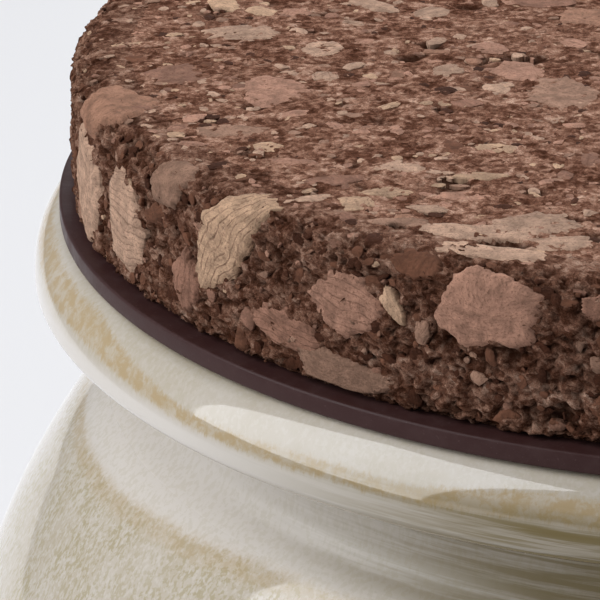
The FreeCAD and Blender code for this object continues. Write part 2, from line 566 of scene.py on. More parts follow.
@dataclass(frozen=True)
class GranuleFinish:
    """Pressed cork seen close: torn dark and pale granules of several sizes in a dark binder.

    The mesh's "tone" attribute carries, in its red, green and blue, how deep a place lies and the tones of
    the large and of the small granule that it belongs to, each from 0 to 1. The depth darkens a place
    towards the hollow colour, which is painted shade in the crevices together with the dark binder there.
    """

    name: str = "sanded_cork"
    shade: float = 1.08
    tones: Stops = (
        (0.0, (0.042, 0.014, 0.007)),
        (0.28, (0.094, 0.038, 0.022)),
        (0.5, (0.180, 0.085, 0.055)),
        (0.72, (0.310, 0.168, 0.115)),
        (1.0, (0.500, 0.320, 0.235)),
    )
    # Colour of the deepest crevices: painted shade there, with the dark binder.
    hollow: Colour = (0.022, 0.007, 0.003)
    roughness: float = 0.85
    refraction: float = 1.06
    large_share: float = 0.30
    small_share: float = 0.28
    flake_share: float = 0.34

    def material(self) -> bpy.types.Material:
        """Wire the granules.

        Returns:
            The finished material.
        """
        draft = Draft(self.name)
        place = draft.places_mm()
        torn = draft.vector("MULTIPLY", draft.warped(place, 0.9, 0.5), (1.0, 1.0, 1.4))
        flake = draft.node("SeparateColor", {0: draft.cells(torn, 1.9).outputs["Color"]}).outputs
        made = draft.node("Attribute", attribute_name="tone").outputs["Color"]
        known = draft.node("SeparateColor", {0: made}).outputs
        fibre = draft.noise(torn, 1.7, 6.0, 0.74)
        value = draft.times(known["Green"], self.large_share)
        value = draft.plus(value, draft.times(known["Blue"], self.small_share))
        value = draft.plus(value, draft.times(flake["Red"], self.flake_share))
        value = draft.plus(value, draft.span(fibre, 0.30, 0.70, -0.20, 0.28))
        grit = draft.noise(place, 9.0, 3.0, 0.75)
        shade = draft.span(grit, 0.28, 0.72, 0.55 * self.shade, 1.4 * self.shade)
        colour = draft.shaded(draft.ramp(value, self.tones), shade)
        # Painted shade: deep places darken towards the hollow colour, with the dark binder in the
        # crevices.
        colour = draft.mix(draft.times(known["Red"], 0.85), colour, self.hollow)
        draft.set(Base_Color=colour, Roughness=self.roughness, IOR=self.refraction)
        relief = draft.plus(draft.times(flake["Green"], 0.10), draft.times(fibre, 0.16))
        draft.bump(draft.plus(relief, draft.times(grit, 0.05)))
        return draft.material


@dataclass(frozen=True)
class ChipFinish:
    """A piece of bark in the cork: its own tone, fine pores and thin wavy lines of growth.

    The tone comes from the mesh's "tone" attribute, whose fourth number says how strong the lines are,
    and the lines follow the second number of the mesh's "grain" attribute, in millimetres.
    """

    pore: Colour = (0.11, 0.050, 0.032)
    line: Colour = (0.115, 0.055, 0.036)
    roughness: float = 0.8
    refraction: float = 1.15

    def material(self) -> bpy.types.Material:
        """Wire the bark.

        Returns:
            The finished material.
        """
        draft = Draft("cork_bark")
        tone = draft.node("Attribute", attribute_name="tone")
        grain = draft.node("Attribute", attribute_name="grain").outputs["Vector"]
        across = draft.node("SeparateXYZ", {0: draft.warped(grain, 2.6, 0.10)}).outputs["Y"]
        wave = draft.maths("SINE", draft.times(across, FULL_TURN / LAYER_MM))
        lines = draft.times(draft.span(wave, 0.70, 1.0), tone.outputs["Alpha"])
        lines = draft.times(lines, draft.span(draft.noise(grain, 0.8), 0.35, 0.6, 0.25, 1.0))
        pores = draft.span(draft.noise(grain, 5.0, 4.0, 0.75), 0.50, 0.66, 0.0, 0.6)
        cloud = draft.span(draft.noise(grain, 0.9, 5.0, 0.7), 0.3, 0.7, 0.70, 1.30)
        colour = draft.mix(pores, draft.shaded(tone.outputs["Color"], cloud), self.pore)
        colour = draft.mix(draft.times(lines, 0.62), colour, self.line)
        draft.set(Base_Color=colour, Roughness=self.roughness, IOR=self.refraction)
        relief = draft.times(draft.noise(grain, 3.6, 5.0, 0.75), 0.22)
        draft.bump(draft.minus(relief, draft.times(lines, 0.04)))
        return draft.material


# ---------------------------------------------------------------------------------------------------
# Meshes
# ---------------------------------------------------------------------------------------------------


@dataclass
class Shell:
    """A mesh being gathered: points in metres, faces, and a tone and a grain place for each point."""

    points: list[np.ndarray] = field(default_factory=list)
    faces: Faces = field(default_factory=list)
    tones: list[np.ndarray] = field(default_factory=list)
    grains: list[np.ndarray] = field(default_factory=list)
    count: int = 0

    def add(
        self,
        points: np.ndarray,
        faces: Sequence[Sequence[int]],
        tone: Sequence[float] | np.ndarray | None = None,
        grain: np.ndarray | None = None,
    ) -> None:
        """Join points and faces to the mesh.

        Args:
            points: N x 3 places in metres.
            faces: Point numbers of each face, counted within these points.
            tone: A colour and line strength, either one for all of the points or one for each.
            grain: N x 3 places in the bark's own frame, in millimetres.
        """
        self.faces.extend(tuple(self.count + corner for corner in face) for face in faces)
        self.points.append(points)
        self.count += len(points)
        if tone is not None:
            self.tones.append(np.broadcast_to(np.array(tone), (len(points), 4)))
            self.grains.append(np.zeros((len(points), 3)) if grain is None else grain)

    def object(self, name: str, finish: bpy.types.Material) -> bpy.types.Object:
        """Make the Blender object.

        Args:
            name: The object's name.
            finish: Its material.

        Returns:
            The new object, linked to the scene.
        """
        mesh = bpy.data.meshes.new(name)
        mesh.from_pydata(np.vstack(self.points).tolist(), [], self.faces)
        if self.tones:
            tone = mesh.attributes.new("tone", "FLOAT_COLOR", "POINT")
            tone.data.foreach_set("color", np.vstack(self.tones).ravel())
            grain = mesh.attributes.new("grain", "FLOAT_VECTOR", "POINT")
            grain.data.foreach_set("vector", np.vstack(self.grains).ravel())
        mesh.polygons.foreach_set("use_smooth", [True] * len(mesh.polygons))
        mesh.materials.append(finish)
        mesh.update()
        made = bpy.data.objects.new(name, mesh)
        bpy.context.scene.collection.objects.link(made)
        return made

    def piece(self, name: str, finish: bpy.types.Material, node: str, slot: str) -> bpy.types.Object:
        """Make a piece that rides on the body and stands for a solid, whose own part it hides.

        Args:
            name: The piece's name.
            finish: Its material.
            node: The solid that it stands for.
            slot: Not used.

        Returns:
            The piece.
        """
        made = self.object(name, finish)
        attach(made, BODY)
        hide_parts(node)
        return made


def arc(centre: tuple[float, float], radius: float, first: float, last: float, steps: int) -> Profile:
    """Points of an arc of a half profile.

    Args:
        centre: Radius and height of the arc's centre.
        radius: The arc's radius.
        first: Angle of its first point above the horizontal, in degrees.
        last: Angle of its last point, in degrees.
        steps: How many pieces it is divided into.

    Returns:
        The points, first and last included.
    """
    angles = np.radians(np.linspace(first, last, steps + 1))
    return [(centre[0] + radius * math.cos(a), centre[1] + radius * math.sin(a)) for a in angles]


def turned(profile: Sequence[tuple[float, float]], segments: int) -> tuple[np.ndarray, Faces]:
    """Turn a half profile round the Z axis.

    Args:
        profile: Radius and height of each point; its first and last points may lie on the axis.
        segments: How many steps make one turn.

    Returns:
        The points and the faces. A profile point on the axis becomes one point.
    """
    angles = np.linspace(0.0, FULL_TURN, segments, endpoint=False)
    circle = np.c_[np.cos(angles), np.sin(angles)]
    points: list[np.ndarray] = []
    starts: list[tuple[int, int]] = []
    count = 0
    for radius, height in profile:
        if radius < ON_AXIS:
            ring = np.array([[0.0, 0.0, height]])
        else:
            ring = np.c_[circle * radius, np.full(segments, height)]
        starts.append((count, len(ring)))
        points.append(ring)
        count += len(ring)
    faces: Faces = []
    for (low, low_size), (high, high_size) in zip(starts, starts[1:]):
        for step in range(segments):
            after = (step + 1) % segments
            if low_size == 1:
                faces.append((low, high + after, high + step))
            elif high_size == 1:
                faces.append((low + step, low + after, high))
            else:
                faces.append((low + step, low + after, high + after, high + step))
    return np.vstack(points), faces


# ---------------------------------------------------------------------------------------------------
# The jar and its ring
# ---------------------------------------------------------------------------------------------------


@dataclass
class StonewareJar:
    """The thrown body: foot, belly, shoulder, hollowed neck and rolled lip, with slight waves.

    The lip is fuller low down, where it overhangs the neck. Drops are counted from its flat top, angles
    are in degrees above the horizontal, and waves are counted in a metre.
    """

    top: float
    belly_radius: float
    glaze: GlazeFinish
    lip_radius: float = 59.3 * MM
    lip_drop: float = 5.1 * MM
    lip_crown: float = 3.9 * MM
    lip_overhang: float = 6.4 * MM
    lip_belly: float = 1.9 * MM
    neck_hollow: float = 4.0 * MM
    neck_flare: float = 52.0
    roll_radius: float = 28.0 * MM
    roll_end: float = 32.7
    roll_end_drop: float = 21.73 * MM
    belly_drop: float = 54.6 * MM
    shoulder_arc: float = 60.8 * MM
    foot_radius: float = 46.0 * MM
    heel_round: float = 5.0 * MM
    skin: float = 0.10 * MM
    least_skin: float = 0.01 * MM
    wave: float = 0.08 * MM
    slow_waves: float = 25.0
    slow_waves_up: float = 45.0
    throwing_lines: float = 420.0
    throwing_drift: float = 6.0
    segments: int = 400

    def profile(self) -> Profile:
        """Half profile from the middle of the foot round to the middle of the top.

        Returns:
            Radius and height of each point.
        """
        belly = self.top - self.belly_drop
        inset = self.belly_radius - self.foot_radius
        rise = belly - self.heel_round
        lower = (inset**2 + rise**2 - self.heel_round**2) / (2 * (inset - self.heel_round))
        heel_end = math.degrees(math.atan2(-rise, lower - inset))
        shoulder = (self.belly_radius - self.shoulder_arc, belly)
        roll, cove = self.neck_centres(shoulder[0])
        lip = (self.lip_radius - self.lip_crown, self.top - self.lip_drop)
        under = (self.lip_radius - self.lip_overhang, lip[1] - self.lip_belly)
        tuck = under[0] - (cove[0] - self.neck_hollow)

        points = [(self.foot_radius * share, 0.0) for share in (0.0, 0.3, 0.6, 0.85, 0.97)]
        points += arc((self.foot_radius, self.heel_round), self.heel_round, -90, heel_end, 10)
        points += arc((self.belly_radius - lower, belly), lower, heel_end, 0, 36)[1:]
        points += arc(shoulder, self.shoulder_arc, 0, self.roll_end, 24)[1:]
        points += arc(roll, self.roll_radius, self.roll_end, self.neck_flare, 16)[1:]
        points += arc(cove, self.neck_hollow, 180 + self.neck_flare, 180, 14)[1:]
        points += arc((under[0], under[1] - tuck), tuck, 180, 90, 8)
        for turn in np.radians(np.linspace(-90, 0, 23))[1:]:
            low = self.lip_radius - self.lip_overhang * (1 - math.cos(turn))
            points.append((low, lip[1] + self.lip_belly * math.sin(turn)))
        for turn in np.radians(np.linspace(0, 90, 27))[1:]:
            high = lip[1] + self.lip_drop * math.sin(turn)
            points.append((lip[0] + self.lip_crown * math.cos(turn), high))
        points += [(lip[0] * share, self.top) for share in (0.97, 0.9, 0.5, 0.0)]
        return points

    def neck_centres(self, shoulder: float) -> tuple[tuple[float, float], tuple[float, float]]:
        """Find the centres of the roll above the shoulder and of the neck's hollow.

        Args:
            shoulder: Radius at which the shoulder's arc has its centre.

        Returns:
            Radius and height of the two centres.
        """
        end, start = math.radians(self.roll_end), math.radians(self.neck_flare)
        reach = shoulder + self.shoulder_arc * math.cos(end)
        level = self.top - self.roll_end_drop
        roll = (reach - self.roll_radius * math.cos(end), level - self.roll_radius * math.sin(end))
        gap = self.roll_radius + self.neck_hollow
        return roll, (roll[0] + gap * math.cos(start), roll[1] + gap * math.sin(start))

    def waved(self, points: np.ndarray) -> np.ndarray:
        """Draw the skin in a little and give it a potter's slight waves and throwing lines.

        Args:
            points: N x 3 places.

        Returns:
            The moved places.
        """
        moved = points.copy()
        across, up = self.slow_waves, self.slow_waves_up
        drift, lines = self.throwing_drift, self.throwing_lines
        for index, (x, y, z) in enumerate(points):
            radius = math.hypot(x, y)
            if radius < self.foot_radius * 0.98:
                continue
            slow = noise.noise(Vector((x * across, y * across, z * up)))
            turn = noise.noise(Vector((x * drift + 7, y * drift, z * lines)))
            inward = self.skin - self.wave * (0.6 * slow + 0.4 * turn)
            moved[index, :2] *= 1.0 - max(inward, self.least_skin) / radius
        return moved

    def build(self) -> list[bpy.types.Object]:
        """Make the body.

        Returns:
            The one piece.
        """
        points, faces = turned(self.profile(), self.segments)
        shell = Shell()
        shell.add(self.waved(points), faces)
        return [shell.piece("stoneware_jar", self.glaze.material(), "jar", "glaze")]


@dataclass
class SealRing:
    """The silicone ring between the lip and the cork, with a square edge and fine corners."""

    bottom: float
    top: float
    outer: float
    silicone: SiliconeFinish
    bore: float = 46.4 * MM
    corner: float = 0.22 * MM
    corner_steps: int = 5
    rim_width: float = 3.0 * MM
    segments: int = 960

    def build(self) -> list[bpy.types.Object]:
        """Make the ring.

        Returns:
            The one piece.
        """
        edge = self.outer - self.corner
        profile = [(self.bore, self.top), (self.bore, self.bottom)]
        profile += arc((edge, self.bottom + self.corner), self.corner, -90, 0, self.corner_steps)
        profile += arc((edge, self.top - self.corner), self.corner, 0, 90, self.corner_steps)
        profile.append((self.outer - self.rim_width, self.top))
        points, faces = turned(profile, self.segments)
        last = (len(profile) - 1) * self.segments
        for step in range(self.segments):
            after = (step + 1) % self.segments
            faces.append((last + step, last + after, after, step))
        shell = Shell()
        shell.add(points, faces)
        return [shell.piece("silicone_ring", self.silicone.material(), "seal_ring", "silicone")]


# ---------------------------------------------------------------------------------------------------
# The cork lid
# ---------------------------------------------------------------------------------------------------


class Bark(Enum):
    """Tones of the pieces of bark in the cork."""

    PALE_TAN = (0.470, 0.300, 0.212)
    STRAW = (0.520, 0.335, 0.220)
    PINK_TAN = (0.425, 0.230, 0.160)
    DUSTY_PINK = (0.285, 0.148, 0.102)
    ORANGE = (0.350, 0.185, 0.122)
    GREY_TAN = (0.330, 0.192, 0.133)
    BROWN = (0.165, 0.072, 0.043)
    DARK = (0.060, 0.022, 0.012)


class Side(Enum):
    """Where on the lid a piece of bark lies."""

    TOP = "top"
    EDGE = "edge"


@dataclass(frozen=True)
class Chip:
    """One piece of bark at the cork's surface, in millimetres.

    On the top, across and along are its place from the axis along X and Y. On the edge and side, across
    is its azimuth in degrees and along the height of its middle above the ring, which may pass the
    cork's own height where the piece lies on the edge. Its lines of growth run along its width.
    """

    across: float
    along: float
    width: float
    length: float
    bark: Bark
    turn: float = 0.0
    lines: float = 0.0
    depth: float = 0.05
    seed: int = 1

    @property
    def half(self) -> float:
        """Half of its larger size."""
        return max(self.width, self.length) / 2


TOP_CHIPS = (
    Chip(-41.9, -2.9, 6.4, 4.6, Bark.PALE_TAN, turn=12, seed=3),
    Chip(-37.4, -17.0, 6.6, 7.6, Bark.PINK_TAN, seed=5),
    Chip(-39.6, -26.8, 6.0, 3.2, Bark.GREY_TAN, turn=14, seed=8),
    Chip(-34.9, -6.1, 3.6, 4.0, Bark.PALE_TAN, seed=11),
    Chip(-45.5, -14.1, 4.6, 6.0, Bark.DUSTY_PINK, seed=12),
    Chip(-19.0, -45.6, 8.0, 4.0, Bark.PALE_TAN, turn=-6, seed=13),
    Chip(-15.0, -43.4, 6.6, 5.4, Bark.PALE_TAN, turn=30, seed=15),
    Chip(-12.6, -46.8, 5.6, 3.2, Bark.PALE_TAN, turn=8, seed=16),
    Chip(-17.6, -49.0, 9.4, 3.2, Bark.PALE_TAN, turn=-14, seed=26),
    Chip(-14.7, -14.9, 5.6, 7.6, Bark.GREY_TAN, turn=10, seed=17),
    Chip(-24.1, -10.2, 3.2, 4.0, Bark.PALE_TAN, turn=-20, seed=19),
    Chip(-27.9, -40.9, 3.2, 3.0, Bark.STRAW, seed=21),
    Chip(-24.5, -44.2, 4.6, 2.2, Bark.GREY_TAN, turn=8, seed=22),
    Chip(-30.5, -36.5, 5.4, 2.2, Bark.DUSTY_PINK, turn=20, seed=23),
    Chip(-33.5, -33.0, 3.4, 1.6, Bark.PINK_TAN, turn=-10, seed=24),
    Chip(-20.5, -38.5, 4.4, 1.8, Bark.PINK_TAN, turn=10, seed=25),
    Chip(-26.0, -38.3, 4.2, 1.9, Bark.STRAW, turn=6, seed=27),
    Chip(-22.8, -41.2, 4.0, 1.5, Bark.PALE_TAN, turn=-8, seed=28),
    Chip(-31.2, -40.2, 3.6, 1.4, Bark.PALE_TAN, turn=30, seed=29),
    Chip(-25.8, -33.0, 4.4, 1.8, Bark.PALE_TAN, seed=30),
    Chip(-19.5, -34.0, 5.2, 1.6, Bark.STRAW, turn=4, seed=50),
)

EDGE_CHIPS = (
    Chip(-41.8, 9.6, 12.0, 5.2, Bark.STRAW, turn=58, lines=1.0, depth=0.02, seed=131),
    Chip(-18.9, 8.9, 8.8, 7.6, Bark.PINK_TAN, lines=0.15, depth=0.02, seed=32),
    Chip(-30.1, 7.1, 6.0, 5.4, Bark.PINK_TAN, turn=-8, lines=0.7, depth=0.12, seed=33),
    Chip(-50.2, 11.6, 5.4, 5.6, Bark.GREY_TAN, turn=-25, lines=0.1, depth=0.06, seed=34),
    Chip(-67.0, 4.9, 9.0, 9.4, Bark.PALE_TAN, lines=0.3, depth=0.06, seed=35),
    Chip(-57.4, 4.9, 7.0, 9.2, Bark.PALE_TAN, turn=4, lines=0.75, depth=0.02, seed=36),
    Chip(-66.5, 13.2, 8.4, 7.0, Bark.ORANGE, turn=10, lines=0.1, depth=0.02, seed=37),
    Chip(-30.1, 1.7, 9.4, 2.8, Bark.GREY_TAN, turn=-3, lines=0.2, depth=0.12, seed=38),
    Chip(-47.4, 3.6, 6.0, 3.4, Bark.DUSTY_PINK, turn=84, lines=0.8, depth=0.10, seed=39),
    Chip(-25.8, 7.9, 3.0, 1.6, Bark.STRAW, turn=-50, depth=0.10, seed=40),
    Chip(-9.5, 10.8, 3.4, 2.6, Bark.DUSTY_PINK, depth=0.2, seed=41),
    Chip(-9.0, 3.0, 3.6, 3.4, Bark.BROWN, turn=15, lines=0.5, depth=0.2, seed=42),
    Chip(-35.5, 3.6, 7.4, 3.4, Bark.DUSTY_PINK, turn=-8, lines=0.8, depth=0.14, seed=43),
    Chip(-24.5, 11.6, 4.6, 3.0, Bark.BROWN, lines=0.1, depth=0.16, seed=44),
)


@dataclass(frozen=True)
class Scatter:
    """A lot of pieces of bark strewn by chance. Sizes and depths are in millimetres.

    Around and rings say how finely each is divided, and the weights how often each tone of Bark is drawn.
    """

    number: int
    sizes: Range
    depths: Range
    around: int
    rings: int
    weights: tuple[int, ...]

    def bark(self, draw: random.Random) -> Bark:
        """Draw a tone."""
        return draw.choices(list(Bark), self.weights)[0]

    def chip(self, draw: random.Random, across: float, along: float, size: float, bark: Bark) -> Chip:
        """Draw the shape of a piece of bark.

        Args:
            draw: The source of chance.
            across: Its place across.
            along: Its place along.
            size: Its width.
            bark: Its tone.

        Returns:
            The piece of bark.
        """
        depth = draw.uniform(*self.depths)
        return Chip(
            across,
            along,
            size,
            size * draw.uniform(0.4, 0.9),
            bark,
            turn=draw.uniform(0, 180),
            lines=draw.choice((0.0, 0.1, 0.3, 0.7)),
            depth=depth,
            seed=draw.randint(100, 10**6),
        )


TOP_LOTS = (
    Scatter(80, (3.2, 6.2), (0.0, 0.05), 30, 4, (4, 2, 7, 6, 1, 6, 2, 0)),
    Scatter(620, (1.5, 3.2), (0.0, 0.05), 18, 2, (6, 4, 6, 5, 1, 6, 3, 1)),
)
EDGE_LOTS = (
    Scatter(70, (4.0, 7.5), (0.05, 0.25), 40, 7, (2, 2, 6, 6, 2, 5, 6, 0)),
    Scatter(150, (1.8, 3.6), (0.05, 0.25), 22, 3, (0, 1, 2, 4, 1, 3, 12, 6)),
)
FLECK_LOT = Scatter(4000, (0.5, 1.6), (0.02, 0.08), 9, 1, (8, 4, 6, 4, 1, 6, 4, 4))
FLAKE_LOT = Scatter(2400, (0.5, 1.6), (0.22, 0.48), 9, 2, (0, 1, 1, 2, 1, 2, 14, 20))
CRUMB_WEIGHTS = (1, 1, 2, 4, 2, 4, 9, 8)


@dataclass(frozen=True)
class Hollow:
    """A torn-out place in the sanded top, in millimetres from the axis along X and Y."""

    across: float
    along: float
    width: float
    length: float


HOLLOWS = (Hollow(-16.7, -47.3, 1.7, 0.6), Hollow(-24.6, -44.9, 0.5, 0.3))


def hollow(x: np.ndarray, y: np.ndarray) -> np.ndarray:
    """How far places on the top lie in one of its hollows.

    Args:
        x: Places along X, in millimetres.
        y: Places along Y.

    Returns:
        1 at the bottom of a hollow and 0 outside.
    """
    share = np.zeros(np.shape(x))
    for spot in HOLLOWS:
        away = ((x - spot.across) / spot.width) ** 2 + ((y - spot.along) / spot.length) ** 2
        share = np.maximum(share, np.exp(-(away**2)))
    return share


def chance_at(place: Vector) -> float:
    """A number from 0 to 1 that belongs to a place, and is unlike that of any other."""
    return (math.sin(place.dot(Vector((12.99, 78.23, 37.72)))) * 4375.85) % 1.0


def tilt(away: Vector, chance: float) -> float:
    """How far a granule's face slopes off at a way from its middle.

    Args:
        away: The way from its middle.
        chance: The granule's own number from 0 to 1, which turns the slope.

    Returns:
        The added depth.
    """
    turn = chance * 40.0
    return 0.9 * (away.x * math.cos(turn) + away.y * math.sin(turn) + away.z * math.cos(3 * turn))


@dataclass(frozen=True)
class Granule:
    """The granule of one size that a place belongs to.

    Its level and its tone are its own numbers from 0 to 1, the level with its face's slope added. The gap
    is 1 at its border and falls to 0 within it.
    """

    level: float
    tone: float
    gap: float


def granule_at(place: Vector, scale: float, border: float, salt: Vector) -> Granule:
    """Find the granule of one size that a place belongs to.

    Args:
        place: The place, in millimetres.
        scale: How many granules there are in a millimetre.
        border: How wide its border is, as a share of its size.
        salt: Makes its tone unlike its level.

    Returns:
        The granule.
    """
    near, seeds = noise.voronoi(place * scale)
    tone = chance_at(seeds[0] + salt)
    level = chance_at(seeds[0]) + tilt(place * scale - seeds[0], tone)
    return Granule(level, tone, max(0.0, 1.0 - (near[1] - near[0]) / border))


@dataclass(frozen=True)
class Relief:
    """How deep the unevenness of a face of pressed cork goes, in millimetres."""

    ground: float
    lump: float
    small: float
    grit: float
    crevice: float
    crack: float
    pit: float

    def depth(self, lump: Granule, small: Granule, grit: float, pit: float) -> float:
        """Add up the depth at a place.

        Args:
            lump: Its large granule.
            small: Its small granule.
            grit: Its grit.
            pit: How far it lies in a pit.

        Returns:
            The depth in millimetres.
        """
        depth = self.ground + self.lump * lump.level + self.small * small.level + self.grit * grit
        return depth + self.crevice * lump.gap + self.crack * small.gap + self.pit * pit


SANDED = Relief(ground=0.05, lump=0.06, small=0.05, grit=0.05, crevice=0.06, crack=0.03, pit=0.30)
TORN = Relief(ground=0.10, lump=0.26, small=0.18, grit=0.06, crevice=0.34, crack=0.16, pit=0.55)
HOLLOW_DEPTH = 0.8
LEAST_DEPTH = 0.02


def crumb_ball() -> tuple[np.ndarray, Faces]:
    """A ball of 80 triangles, one in radius.

    Returns:
        Its places and faces.
    """
    maker = bmesh.new()
    bmesh.ops.create_icosphere(maker, subdivisions=2, radius=1.0)
    places = np.array([tuple(vertex.co) for vertex in maker.verts])
    faces = [tuple(vertex.index for vertex in face.verts) for face in maker.faces]
    maker.free()
    return places, faces


def chip_faces(around: int, rings: int) -> Faces:
    """Faces of a piece of bark: a fan, its rings and a skirt that hangs from its rim.

    Args:
        around: Points of its outline.
        rings: Into how many rings its face is divided.

    Returns:
        The faces. The rim has its points twice, so that it is shaded as an edge.
    """
    faces: Faces = []
    for step in range(around):
        after = (step + 1) % around
        faces.append((0, 1 + step, 1 + after))
        for ring in (*range(rings - 1), rings):
            low, high = 1 + ring * around, 1 + (ring + 1) * around
            faces.append((low + step, high + step, high + after, low + after))
    return faces


def stitched(inner: int, inner_size: int, outer: int, outer_size: int) -> Faces:
    """Faces between two rings, of which the outer may have twice the points of the inner.

    Args:
        inner: First point of the inner ring.
        inner_size: Its number of points.
        outer: First point of the outer ring.
        outer_size: Its number of points.

    Returns:
        The faces.
    """
    faces: Faces = []
    for step in range(inner_size):
        here, after = inner + step, inner + (step + 1) % inner_size
        if outer_size == inner_size:
            faces.append((here, outer + step, outer + (step + 1) % outer_size, after))
        else:
            left, middle = outer + 2 * step, outer + 2 * step + 1
            right = outer + (2 * step + 2) % outer_size
            faces += [(here, left, middle), (here, middle, after), (after, middle, right)]
    return faces


def broken_outline(draw: random.Random, around: int) -> np.ndarray:
    """An angular, ragged outline about one across, as broken bark has.

    Args:
        draw: The source of chance.
        around: How many points it has.

    Returns:
        N x 2 points, anticlockwise.
    """
    corners = draw.randint(6, 9)
    steps = [draw.uniform(0.6, 1.4) for _ in range(corners)]
    turns = np.cumsum(steps) / sum(steps) * FULL_TURN + draw.uniform(0.0, 6.0)
    sizes = np.array([draw.uniform(0.72, 1.14) for _ in range(corners)]) * 0.5
    peaks = np.c_[np.cos(turns) * sizes, np.sin(turns) * sizes]
    places = np.linspace(0.0, corners, around, endpoint=False)
    left = places.astype(int)
    share = (places - left)[:, None]
    line = peaks[left % corners] * (1 - share) + peaks[(left + 1) % corners] * share
    shift = Vector((draw.uniform(0, 90), draw.uniform(0, 90), 0.0))
    waves = []
    for x, y in line:
        spot = Vector((x, y, 0.0))
        wave = 0.13 * noise.noise(spot * 6.0 + shift) + 0.10 * noise.noise(spot * 17.0 + shift)
        waves.append(1.06 + wave + draw.uniform(-0.02, 0.02))
    return line * np.array(waves)[:, None]


def clashes(spot: Spot, taken: list[Spot], shares: Range) -> bool:
    """Tell whether a piece of bark would lie too near another.

    Args:
        spot: Its place and its size.
        taken: Places and half sizes of the others.
        shares: Shares of its size and of their half sizes that have to lie between.

    Returns:
        Whether one is too near.
    """
    x, y, size = spot
    own, other = shares
    return any(math.hypot(x - a, y - b) < own * size + other * c for a, b, c in taken)


